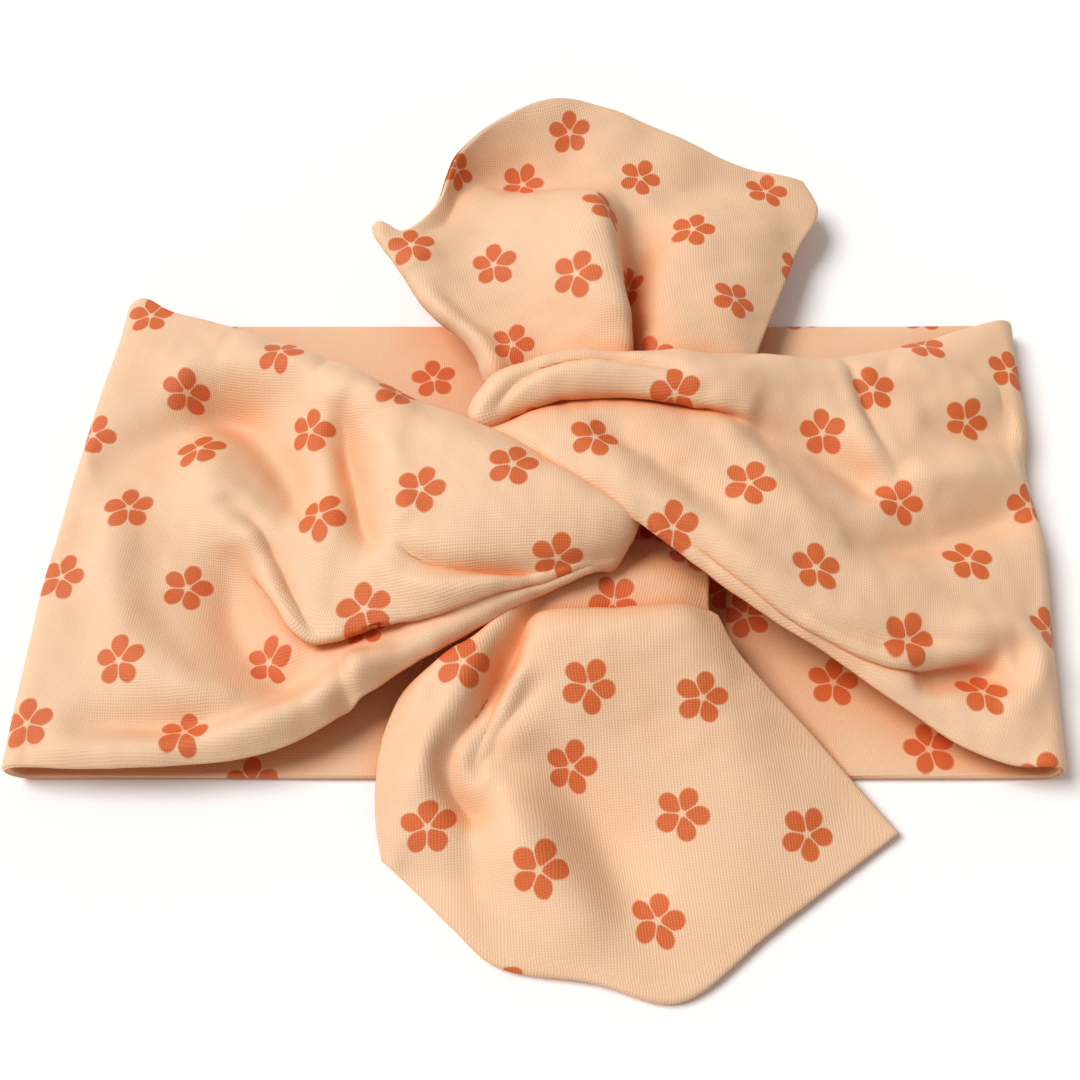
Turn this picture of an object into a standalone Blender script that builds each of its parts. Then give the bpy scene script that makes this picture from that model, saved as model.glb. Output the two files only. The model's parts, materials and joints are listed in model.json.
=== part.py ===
"""A wide knotted headband of double-layer stretch knit, lying flattened on a table.

One long strap of two layers runs round the loop. Its two ends cross in a half knot at the front, and
come out of it as two free tails. Lengths here are in millimetres until a mesh is made. +X runs along
the flattened loop, +Y from the bottom tail to the top tail, and +Z up from the table. The origin is on
the table, under the middle of the knot.
"""

import math

import bpy
import numpy as np

MM = 0.001

# The cloth.
PANEL = 0.9  # thickness of one layer of knit
GAP = 0.3  # between solids that touch on the real headband
SEAM = 1.8  # width of the sewn edge that joins the two layers
LAYER = PANEL + GAP / 2  # half the thickness of the double strap

# The flattened loop.
HALF_LENGTH = 118.0  # from the knot's middle to the outside of each side fold
HALF_WIDTH = 62.5  # half the strap's width
FOLD_RADIUS = 5.5  # outside of the side folds, so the loop is twice this high at its ends
LEAN = 0.075  # how far the side folds lean, in X per unit of Y
HINGE_S = 42.0  # where the straps leave the knot, and the back band leaves its middle
FOLD_STEPS = 4  # facets in a quarter of a side fold

BACK_Z = LAYER  # middle surface of the back band
ARC_S = HALF_LENGTH - FOLD_RADIUS  # centre line of a side fold
ARC_RADIUS = FOLD_RADIUS - LAYER

# Front straps: rows from a side fold to the knot, each (s, points across as (y, z)), where s is the
# distance along the loop measured square to the folds' lean, and s is negative on the left.
LEFT_STRAP = (
    (-100, ((-62.4, 10.0), (-31, 10.6), (0, 11.2), (31, 11.0), (60, 10.0))),
    (-80, ((-61.4, 10.2), (-33, 12.5), (-5, 14.5), (23, 14.0), (51, 11.5))),
    (-60, ((-57.5, 11.0), (-33, 15.5), (-9, 19.5), (16, 19.5), (40, 15.5))),
    (-HINGE_S, ((-49.5, 12.5), (-30, 18.0), (-10, 23.5), (10, 25.0), (28, 20.5))),
)
RIGHT_STRAP = (
    (100, ((-59, 10.0), (-29, 11.0), (0, 11.5), (29, 11.0), (57, 10.0))),
    (80, ((-49, 11.0), (-24, 14.5), (2, 16.5), (26, 14.5), (49, 11.5))),
    (60, ((-37, 14.5), (-17, 19.5), (4, 22.0), (24, 19.0), (43, 13.0))),
    (HINGE_S, ((-25, 19.0), (-12, 24.0), (5, 27.0), (25, 22.0), (41, 14.5))),
)

# The two wraps that cross at the front of the knot: rows of (x, y, z) from the strap to the tip that
# tucks under the other wrap, across from the outer edge to the inner edge.
LEFT_WRAP = (
    ((-31, -39, 13.5), (-29, -25, 20), (-27, -11, 25.5), (-25, 3, 27), (-23, 14, 24)),
    ((-14, -30.5, 15.5), (-12, -21, 22.5), (-10, -12, 28), (-8, -4, 29), (-6, 1.8, 27)),
    ((1, -23.5, 18.5), (3, -18, 24), (5, -13, 28), (6.5, -9.5, 29), (8, -8, 28)),
    ((12, -18, 22), (13, -16.5, 24), (14, -15, 25.5), (14.5, -14, 26), (15, -13, 26)),
)
RIGHT_WRAP = (
    ((30, 38, 16), (29, 25, 24), (28, 10, 28.5), (27, -4, 28), (26, -16, 24)),
    ((14, 34.5, 19), (13, 25, 26), (12, 14, 29.5), (11, 3, 30), (9.5, -4.4, 28)),
    ((0, 29, 21), (-1, 22, 26), (-2, 15, 29), (-3, 9, 30), (-5, 5.7, 28.5)),
    ((-11, 21, 22), (-12, 18.5, 24.5), (-13, 16.5, 26), (-14, 14.8, 26.5), (-15, 12.6, 26)),
)

# The stretches that run under the knot to the tails, rows from the crossing outwards, from left to right.
LEFT_TUCK = (
    ((-12, 10.8, 10.4), (-3, 4.5, 10.4), (5, -1.1, 10.4), (14, -7.4, 10.4), (22, -13, 10.4)),
    ((-17, 24, 10.4), (-4, 19, 10.4), (9, 14, 10.4), (22, 8, 10.4), (34, 2, 10.4)),
    ((-24, 37, 10.4), (-6, 35, 10.4), (11, 32, 10.4), (29, 29, 10.4), (42, 26, 10.4)),
    ((-26, 45.6, 12), (-8, 45.6, 12), (10, 45.6, 12), (28, 45.6, 12), (45, 45.6, 12)),
)
RIGHT_TUCK = (
    ((-22, 13, 10.4), (-14, 7.4, 10.4), (-5, 1.1, 10.4), (3, -4.5, 10.4), (12, -10.8, 10.4)),
    ((-32, -6, 10.2), (-18, -9, 10.2), (-5, -12, 10.2), (8, -16, 11), (20, -20, 12)),
    ((-38, -27, 10.2), (-19, -27, 10.2), (0, -27, 11.5), (19, -28, 15), (36, -28, 14)),
    ((-36, -45.6, 10.2), (-17, -45.6, 10.2), (3, -45.6, 10.2), (22, -45.6, 10.2), (41, -45.6, 10.2)),
)

# The tails, rows from the root to the slanted end, from left to right.
TOP_TAIL = (
    ((-26, 46.4, 12), (-8, 46.4, 12), (10, 46.4, 12), (28, 46.4, 12), (45, 46.4, 12)),
    ((-33, 60, 17), (-9, 62, 21), (15, 62, 16), (36, 60, 18), (55, 57, 12)),
    ((-45, 76, 20), (-14, 80, 25), (16, 82, 17), (42, 80, 20), (65, 78, 9)),
    ((-42, 89, 18), (-12, 103, 21), (16, 104, 15), (44, 98, 15), (70, 91, 7)),
    ((-33, 103, 15), (-5, 125, 13), (18, 123, 12), (50, 111, 9), (73, 102, 5)),
)
BOTTOM_TAIL = (
    ((-36, -46.4, 10.2), (-17, -46.4, 10.2), (3, -46.4, 10.2), (22, -46.4, 10.2), (41, -46.4, 10.2)),
    ((-39, -56, 6.5), (-16, -56, 7.5), (8, -56, 7.5), (32, -55, 7.5), (54, -54, 6.5)),
    ((-40, -66, 3.8), (-14, -67, 4.0), (12, -67, 4.0), (39, -66, 4.0), (65, -65, 3.8)),
    ((-39, -76, 1.6), (-13, -82, 1.6), (16, -84, 1.6), (45, -79, 1.6), (71, -71, 1.6)),
    ((-37, -86, 1.2), (-13, -102, 1.2), (27, -109, 1.2), (52, -94, 1.2), (74, -77, 1.2)),
)

# Pivots, as (x, y, z), in the order that the loop runs: the back band's left hinge, the left side fold's
# outermost line, the two hinges beside the knot, the right side fold, and the roots of the tails. The loop's
# own hinges are level with each other about the middle of the folds, so that it closes at every angle.
HINGE_RISE = 3.2
BACK_HINGE_Z = FOLD_RADIUS - HINGE_RISE
FRONT_HINGE_Z = FOLD_RADIUS + HINGE_RISE
PIVOTS = {
    "back_left": (-HINGE_S, 0, BACK_HINGE_Z),
    "front_left": (-HALF_LENGTH, 0, FOLD_RADIUS),
    "knot": (-HINGE_S, 0, FRONT_HINGE_Z),
    "front_right": (HINGE_S, 0, FRONT_HINGE_Z),
    "back_right": (HALF_LENGTH, 0, FOLD_RADIUS),
    "top_tail": (10, 46, 13.1),
    "bottom_tail": (3, -46, 11.3),
}

KNOT_STRETCHES = ("left_wrap_", "right_wrap_", "left_tuck_", "right_tuck_")

# How finely each surface is cut: facets between two neighbouring rows or columns.
ALONG = 2
ACROSS = 2

# Colours, as linear RGB, and roughness.
PEACH = (0.86, 0.60, 0.42, 1.0)
PEACH_INSIDE = (0.80, 0.54, 0.37, 1.0)
PEACH_EDGE = (0.74, 0.47, 0.31, 1.0)
KNIT_ROUGHNESS = 0.85


def clear_scene():
    for obj in list(bpy.data.objects):
        bpy.data.objects.remove(obj, do_unlink=True)


def knit(name, colour):
    material = bpy.data.materials.new(name)
    material.use_nodes = True
    shader = material.node_tree.nodes["Principled BSDF"]
    shader.inputs["Base Color"].default_value = colour
    shader.inputs["Roughness"].default_value = KNIT_ROUGHNESS
    shader.inputs["Metallic"].default_value = 0.0
    return material


def leaning(s, y, z):
    """A point of the loop: s along it, y across it, moved sideways with the lean of the folds."""
    return (s + LEAN * y, y, z)


def spline(points, steps):
    """Points on a smooth curve through the given ones, with this many steps between neighbours."""
    points = np.asarray(points, float)
    before = 2 * points[:1] - points[1:2]
    after = 2 * points[-1:] - points[-2:-1]
    padded = np.concatenate([before, points, after])
    found = []
    for i in range(1, len(padded) - 2):
        p0, p1, p2, p3 = padded[i - 1 : i + 3]
        for k in range(steps):
            t = k / steps
            found.append(
                p1
                + 0.5 * t * (p2 - p0)
                + t * t * (p0 - 2.5 * p1 + 2 * p2 - 0.5 * p3)
                + 0.5 * t**3 * (3 * (p1 - p2) + p3 - p0)
            )
    found.append(points[-1])
    return np.array(found)


def smooth_grid(rows, along, across):
    """A grid of points on a smooth surface through the given rows of points."""
    finer_rows = np.array([spline(row, across) for row in rows])
    columns = [spline(finer_rows[:, j], along) for j in range(finer_rows.shape[1])]
    return np.stack(columns, axis=1)


def normals_of(grid, up):
    """Unit normals of a grid of points, on the side that `up` points to."""
    along, across = (np.gradient(grid, axis=k, edge_order=min(2, grid.shape[k] - 1)) for k in (0, 1))
    found = np.cross(along, across)
    found /= np.linalg.norm(found, axis=2, keepdims=True)
    middle = found[found.shape[0] // 2, found.shape[1] // 2]
    return found if np.dot(middle, up) > 0 else -found


def solid_between(name, low, high, material):
    """A closed solid between two grids of points, cut into triangles the same way on both sides."""
    rows, columns = low.shape[:2]
    points = np.concatenate([low.reshape(-1, 3), high.reshape(-1, 3)]) * MM
    top = rows * columns
    faces = []
    for i in range(rows - 1):
        for j in range(columns - 1):
            a = i * columns + j
            b, c, d = a + 1, a + columns + 1, a + columns
            for corners in ((a, b, c), (a, c, d)):
                faces.append(corners)
                faces.append(tuple(top + k for k in reversed(corners)))
    first_row = list(range(columns))
    last_column = [i * columns + columns - 1 for i in range(1, rows)]
    last_row = [(rows - 1) * columns + j for j in range(columns - 2, -1, -1)]
    first_column = [i * columns for i in range(rows - 2, 0, -1)]
    rim = first_row + last_column + last_row + first_column
    for a, b in zip(rim, rim[1:] + rim[:1]):
        faces.append((b, a, top + a, top + b))
    mesh = bpy.data.meshes.new(name)
    mesh.from_pydata([tuple(p) for p in points], [], faces)
    if signed_volume(mesh) < 0:
        mesh.flip_normals()
    mesh.materials.append(material)
    mesh.shade_smooth()
    mesh.set_sharp_from_angle(angle=math.radians(40))
    obj = bpy.data.objects.new(name, mesh)
    bpy.context.scene.collection.objects.link(obj)
    return obj


def signed_volume(mesh):
    total = 0.0
    for face in mesh.polygons:
        corners = [mesh.vertices[i].co for i in face.vertices]
        for k in range(1, len(corners) - 1):
            total += corners[0].dot(corners[k].cross(corners[k + 1]))
    return total


def resampled(values, travelled, wanted):
    """Values known at some distances along a row, read at other distances."""
    return np.stack([np.interp(wanted, travelled, values[:, k]) for k in range(3)], axis=1)


def across_between(grid, normals, first_trim, last_trim, width=None):
    """The grid and its normals, trimmed at both edges by these lengths, or `width` wide from the first."""
    columns = 2 if width else grid.shape[1]
    rows, row_normals = [], []
    for row, up in zip(grid, normals):
        steps = np.linalg.norm(np.diff(row, axis=0), axis=1)
        travelled = np.concatenate([[0.0], np.cumsum(steps)])
        end = first_trim + width if width else travelled[-1] - last_trim
        wanted = np.linspace(first_trim, end, columns)
        rows.append(resampled(row, travelled, wanted))
        row_normals.append(resampled(up, travelled, wanted))
    return np.array(rows), np.array(row_normals)


def strap_stretch(name, grid, up, cloth, seams):
    """A stretch of the double strap: a face panel, a lining panel and the named edge seams.

    `up` points out of the face. `seams` gives the seam's name at each edge, or None for a bare edge.
    """
    normals = normals_of(grid, up)
    trims = [0.0 if seam is None else SEAM + GAP for seam in seams]
    for seam, flip in zip(seams, (1, -1)):
        if seam is not None:
            strip, side = across_between(grid[:, ::flip], normals[:, ::flip], 0.0, 0.0, SEAM)
            solid_between(f"{name}_{seam}", strip - LAYER * side, strip + LAYER * side, cloth["edge"])
    inner, side = across_between(grid, normals, *trims)
    double_layer(name, inner, side, cloth)


def double_layer(name, grid, normals, cloth):
    solid_between(f"{name}_face", grid + normals * GAP / 2, grid + normals * LAYER, cloth["face"])
    solid_between(f"{name}_lining", grid - normals * LAYER, grid - normals * GAP / 2, cloth["lining"])


def fold_quarter(side, first, last):
    """Rows of a side fold between two angles, 0 at the back band and 180 at the front strap."""
    rows = []
    for k in range(FOLD_STEPS + 1):
        angle = math.radians(first + (last - first) * k / FOLD_STEPS)
        s = side * (ARC_S + ARC_RADIUS * math.sin(angle))
        z = FOLD_RADIUS - ARC_RADIUS * math.cos(angle)
        rows.append([leaning(s, y, z) for y in np.linspace(-HALF_WIDTH, HALF_WIDTH, 5)])
    return np.array(rows)


def back_rows(*stations):
    return [[leaning(s, y, BACK_Z) for y in np.linspace(-HALF_WIDTH, HALF_WIDTH, 5)] for s in stations]


def moved_along(row, distance):
    """A row of the strap, moved along the loop to leave a gap to its neighbour."""
    return [(x + distance, y, z) for x, y, z in row]


def fold_angle_gap():
    """Half the gap between the two halves of a fold, as an angle at its middle surface."""
    return math.degrees(GAP / 2 / ARC_RADIUS)


def build_back(cloth):
    down = (0, 0, -1)
    seams = ("near_seam", "far_seam")
    edge = HINGE_S - GAP / 2
    strap_stretch("back_centre", np.array(back_rows(-edge, edge)), down, cloth, seams)
    for side, name in ((-1, "back_left"), (1, "back_right")):
        flat = back_rows(side * (HINGE_S + GAP / 2), side * (HINGE_S + ARC_S) / 2)
        fold = fold_quarter(side, 0, 90 - fold_angle_gap())
        strap_stretch(name, np.concatenate([flat, fold]), down, cloth, seams)


def build_front_strap(name, side, rows, cloth):
    """A front strap from the upper half of its side fold to the knot."""
    fold = fold_quarter(side, 90 + fold_angle_gap(), 180)
    shaped = [[leaning(s, y, z) for y, z in across] for s, across in rows]
    shaped[-1] = moved_along(shaped[-1], side * GAP / 2)
    crown = smooth_grid([fold[-1]] + shaped, ALONG, ACROSS)
    fold = np.array([spline(row, ACROSS) for row in fold])
    grid = np.concatenate([fold[:-1], crown])
    strap_stretch(name, grid, (0, 0, 1), cloth, ("near_seam", "far_seam"))


def build_wrap(name, side, strap_rows, rows, cloth):
    """The stretch that crosses over the other strap. Its first row meets its front strap."""
    s, across = strap_rows[-1]
    first = moved_along([leaning(s, y, z) for y, z in across], -side * GAP / 2)
    if side > 0:
        first = first[::-1]
    grid = smooth_grid([first, *rows], ALONG, ACROSS)
    strap_stretch(name, grid, (0, 0, 1), cloth, ("outer_seam", None))


def build_knot(cloth):
    build_wrap("left_wrap", -1, LEFT_STRAP, LEFT_WRAP, cloth)
    build_wrap("right_wrap", 1, RIGHT_STRAP, RIGHT_WRAP, cloth)
    for name, rows in (("left_tuck", LEFT_TUCK), ("right_tuck", RIGHT_TUCK)):
        strap_stretch(name, smooth_grid(rows, ALONG, 1), (0, 0, 1), cloth, (None, None))


def build_tail(name, rows, cloth):
    """A free tail: two layers inside one seam that runs down a side, round the end and up again."""
    grid = smooth_grid(rows, ALONG, ACROSS)
    normals = normals_of(grid, (0, 0, 1))
    rim = [(i, 0) for i in range(len(grid))]
    rim += [(len(grid) - 1, j) for j in range(1, grid.shape[1])]
    rim += [(i, grid.shape[1] - 1) for i in range(len(grid) - 2, -1, -1)]
    outline = np.array([grid[i, j] for i, j in rim])
    up = np.array([normals[i, j] for i, j in rim])
    inwards = np.cross(up, np.gradient(outline, axis=0))
    inwards /= np.linalg.norm(inwards, axis=1, keepdims=True)
    middle = grid.reshape(-1, 3).mean(axis=0)
    if np.sum(inwards * (middle - outline)) < 0:
        inwards = -inwards
    inwards[0] = inwards[1]
    inwards[-1] = inwards[-2]
    inwards[[0, -1], 1] = 0.0
    strip = np.stack([outline, outline + SEAM * inwards], axis=1)
    side = np.stack([up, up], axis=1)
    solid_between(f"{name}_seam", strip - LAYER * side, strip + LAYER * side, cloth["edge"])
    inner = grid.copy()
    for k, (i, j) in enumerate(rim):
        inner[i, j] = outline[k] + (SEAM + GAP) * inwards[k]
    double_layer(name, inner, normals, cloth)


def hang_on_pivots():
    """Parents each moving stretch to an empty on the line that it turns about."""
    for body, pivot in PIVOTS.items():
        empty = bpy.data.objects.new(f"{body}_pivot", None)
        empty.location = [MM * value for value in pivot]
        empty.rotation_euler.z = 0.0 if "tail" in body else -math.atan(LEAN)
        bpy.context.scene.collection.objects.link(empty)
        bpy.context.view_layer.update()
        prefixes = KNOT_STRETCHES if body == "knot" else (body + "_",)
        for obj in bpy.data.objects:
            if obj.type == "MESH" and obj.name.startswith(prefixes):
                obj.parent = empty
                obj.matrix_parent_inverse = empty.matrix_world.inverted()


def build_headband():
    clear_scene()
    cloth = {
        "face": knit("knit_face", PEACH),
        "lining": knit("knit_lining", PEACH_INSIDE),
        "edge": knit("knit_edge", PEACH_EDGE),
    }
    build_back(cloth)
    build_front_strap("front_left", -1, LEFT_STRAP, cloth)
    build_front_strap("front_right", 1, RIGHT_STRAP, cloth)
    build_knot(cloth)
    build_tail("top_tail", TOP_TAIL, cloth)
    build_tail("bottom_tail", BOTTOM_TAIL, cloth)
    hang_on_pivots()


build_headband()
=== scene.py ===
"""Looks of the knotted headband, built around its CAD model.

Each half of the strap is one smooth sheet, lofted through given rows of points, in millimetres:
from the back band, round the side fold, along the front and over the knot. Each tail is a sheet of its own.
A sheet is flattened to lay out its print and its knit, and given two layers and rounded edges. The strap's
sheets are then cut into pieces that each span one bend.
"""

import itertools
import json
import math

import bpy
import numpy as np
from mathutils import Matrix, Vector


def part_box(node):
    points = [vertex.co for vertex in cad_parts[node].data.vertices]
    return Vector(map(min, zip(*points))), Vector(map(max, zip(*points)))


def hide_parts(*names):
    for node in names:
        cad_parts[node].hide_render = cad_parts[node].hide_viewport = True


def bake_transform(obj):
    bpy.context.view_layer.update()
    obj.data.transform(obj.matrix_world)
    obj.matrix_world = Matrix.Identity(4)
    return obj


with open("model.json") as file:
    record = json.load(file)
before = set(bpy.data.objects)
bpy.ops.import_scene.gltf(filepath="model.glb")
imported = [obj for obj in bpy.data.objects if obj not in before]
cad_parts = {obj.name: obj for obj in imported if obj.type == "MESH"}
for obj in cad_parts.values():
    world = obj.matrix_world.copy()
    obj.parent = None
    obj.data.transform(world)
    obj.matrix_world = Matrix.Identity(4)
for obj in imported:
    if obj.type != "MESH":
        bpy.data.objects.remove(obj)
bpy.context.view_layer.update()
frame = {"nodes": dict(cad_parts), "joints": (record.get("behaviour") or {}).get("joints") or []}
JOINTS = {joint["name"]: joint for joint in frame["joints"]}

MM = 0.001

# ---------------------------------------------------------------- sizes, in millimetres, from the frame
HINGE_S = abs(JOINTS["loop_open"]["pos_m"][0]) / MM
HALF_LENGTH = abs(JOINTS["left_fold"]["pos_m"][0]) / MM
FOLD_Z = JOINTS["left_fold"]["pos_m"][2] / MM
LEAN = JOINTS["loop_open"]["axis"][0] / JOINTS["loop_open"]["axis"][1]
BACK_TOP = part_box("back_centre_lining")[1].z / MM
BACK_Z = BACK_TOP / 2
HALF_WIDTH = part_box("back_centre_far_seam")[1].y / MM
ARC_RADIUS = FOLD_Z - BACK_Z
ARC_S = HALF_LENGTH - FOLD_Z

# ---------------------------------------------------------------- the cloth, in millimetres
HALF_THICK = 0.95  # half of the thickness of the two layers together
EDGE_ROUND = 1.0  # how far in from an edge the cloth reaches its full thickness
THINNEST = 0.03  # share of the thickness that is left at the very edge
EDGE_STEPS = (0.0, 0.12, 0.35, 0.7, 1.2)  # extra points' distances from an edge
EDGE_MARGIN = EDGE_STEPS[-1] + 0.6  # where the other points start
COLUMNS = 12  # points across each given row of the strap
BAND_STEP = 22.0  # distance between rows along the back band
BAND_MARGIN = 8.0  # the least distance from the last of them to the side fold
FOLD_TURN = 30  # degrees between rows round a side fold
STRAP_STEPS = (12, 12)  # points between the given rows, and between their columns
TAIL_STEPS = (14, 11)
STRAP_PASSES, TAIL_PASSES = 6, 4  # how often the lofted sheets are relaxed
PATTERN_STEP = 4  # the flat pattern is found on every fourth row and column

LEFT_FAR, RIGHT_FAR = 65.5, 58.0  # y of the side folds' upper far corners
ELSEWHERE = 1000.0  # added to the distance of a row on the loop's other side, so that it isn't chosen
FOLD_END = 84.0  # where the side folds' pieces end, along the loop
FRONT_MARGIN = 8.0  # how much nearer to the fold they end on the front
OVERLAP = 1.2  # how far the right half reaches into the back band's end, which hides the joint there
OVERLAP_THICKNESS = 0.85  # its share of the thickness there

# A lap's step: how sharp it is, the share of its height on the high side, and the hollow on the low side.
LAP_SHARPNESS = 0.5
LAP_HIGH = 0.75
LAP_HOLLOW = 0.35
HOLLOW_PLACE, HOLLOW_REACH = 1.6, 2.2
LINE_STEPS = 6  # points between two given points of a fold's line
PRESSED_FROM = 10  # rows over which the folds grow to their full height
PRESSED_PASSES = 2  # how often the pressed sheet is relaxed
FLOOR_GAP = 0.1  # the least gap between the cloth and the table
LOWEST, LOWEST_TOP = 0.02, 0.05  # the least heights of a point of the lower and of the upper layer

# Soft ripples all over: height, wavelength. They grow to their full height over RIPPLE_FADE upwards.
RIPPLES = ((0.35, 26.0), (0.12, 9.0))
RIPPLE_FADE = 8.0
BAND_CLEAR = 5.0  # the strap's ripples start this far above the band's middle plane
TAIL_CLEAR = 3.0  # and the tails' this far above the table
NOISE_WAVES = 14  # waves summed into one ripple
NOISE_STRETCH = (0.6, 1.7)  # how much their wavelengths vary
NOISE_HEIGHT = 3.5  # brings their sum to about -1 to 1
LEFT_SEED, RIGHT_SEED, BOTTOM_SEED, TOP_SEED = 3, 11, 21, 31
FRONT_ROW, TAIL_ROW = -20, -30  # a row that plainly faces up, on the strap and on a tail

# Rows across the left front strap, near edge to far edge, from the side fold to the wrap's tip. The fourth
# and fifth points make the knife pleat, and the sixth to eighth the swirl above it.
LEFT_ROWS = (
    ((-105, -63, 9.0), (-105, -56, 10.8), (-105, -44, 10.5), (-104, -32, 10), (-104, -20, 10),
     (-104, -8, 10.5), (-103, 4, 11), (-103, 15, 11), (-102, 27, 11), (-102, 39, 10.5),
     (-101, 52, 10.5), (-101, 61, 10)),
    ((-91, -62.5, 8.5), (-91, -55, 11.2), (-91, -43, 11), (-91, -30, 10), (-90, -16, 11),
     (-90, -4, 12.5), (-89, 7, 13), (-88, 17, 12), (-88, 27, 12.5), (-87, 37, 13), (-87, 48, 13),
     (-88, 56, 11)),
    ((-76, -61.5, 8.5), (-76, -54, 11.8), (-76, -42, 11), (-75, -28, 9.5), (-76, -12, 12),
     (-74, -4, 15), (-73, 6, 16), (-73, 16, 15), (-73, 26, 14.5), (-73, 35, 15), (-73, 44, 15),
     (-74, 50, 12.5)),
    ((-63, -59, 9.2), (-63, -52, 12.2), (-63, -42, 11.5), (-51, -22, 10.5), (-65, -24, 14.5),
     (-62, -16, 16.5), (-61, -5, 18), (-61, 6, 17.5), (-61, 17, 16.5), (-61, 27, 18), (-61, 36, 18.5),
     (-62, 43, 15.5)),
    ((-54, -55, 10), (-54, -49, 13), (-53, -42, 12.5), (-41, -21, 12), (-56, -35, 15.5),
     (-53, -27, 17.8), (-52, -13, 20.5), (-51, -2, 20.5), (-51, 10, 19), (-51, 20, 20), (-51, 30, 21.5),
     (-52, 37, 18.5)),
    ((-44, -48.5, 11), (-44, -43.5, 14.5), (-44, -36, 13.8), (-34, -18, 13.5), (-46, -34, 16.8),
     (-44, -27.5, 18.8), (-42, -18, 21), (-41, -8, 23), (-41, 4, 22), (-41, 14, 23), (-41, 23, 25),
     (-42, 30, 21)),
    ((-33, -40.5, 12.5), (-33, -37, 15.5), (-33, -32, 15.3), (-27, -19, 15), (-34, -31, 17.8),
     (-33, -26, 20), (-33, -20.5, 20.3), (-32, -16, 25), (-31, -5, 26.5), (-31, 6, 26.5), (-31, 16, 27),
     (-32, 24, 22.5)),
    ((-18, -32, 15), (-18, -30, 17.5), (-18, -28, 17.5), (-17, -23, 17), (-18, -27, 19),
     (-18, -25, 20.8), (-18, -22.5, 20.5), (-18, -18.5, 25.5), (-17, -8, 29), (-16, 1, 29.5),
     (-15, 8, 29), (-14, 13.5, 26)),
    ((-3, -24.5, 17.5), (-3, -23.5, 19.5), (-3, -22.8, 19.6), (-2, -21, 19.6), (-3, -22.4, 20.6),
     (-3, -21.8, 21.6), (-3, -20.8, 22), (-3, -17.5, 26), (-1, -11, 29.3), (1, -5, 30), (2, -1, 29),
     (3, 2, 26)),
    ((8, -20, 19.5), (8, -19.6, 20.8), (8, -19.2, 21.2), (8.5, -18.8, 21.5), (8, -18.6, 22),
     (8, -18.2, 22.5), (9, -17.5, 23), (9.5, -15.5, 26), (11, -11.5, 28.5), (12, -8.5, 29),
     (13, -6.5, 27.5), (14, -4.5, 25)),
    ((12, -18.5, 17), (12.5, -18.2, 18), (13, -17.8, 18.5), (13.5, -17.2, 19), (14, -16.6, 19.5),
     (14.5, -15.8, 20), (15.2, -14.8, 20.8), (16.3, -13, 22.5), (17.6, -10.5, 24), (18.3, -8.5, 24.3),
     (18.5, -6.8, 23.5), (18, -5, 21.5)),
    ((9, -15, 13), (9.5, -14.6, 13), (10, -14.2, 13), (10.5, -13.6, 13), (11, -13, 13),
     (11.5, -12.4, 13), (12, -11.6, 13), (13, -10, 13), (14, -8, 13), (14.5, -6.4, 13), (15, -5, 13),
     (15, -3.6, 13)),
)
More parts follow.
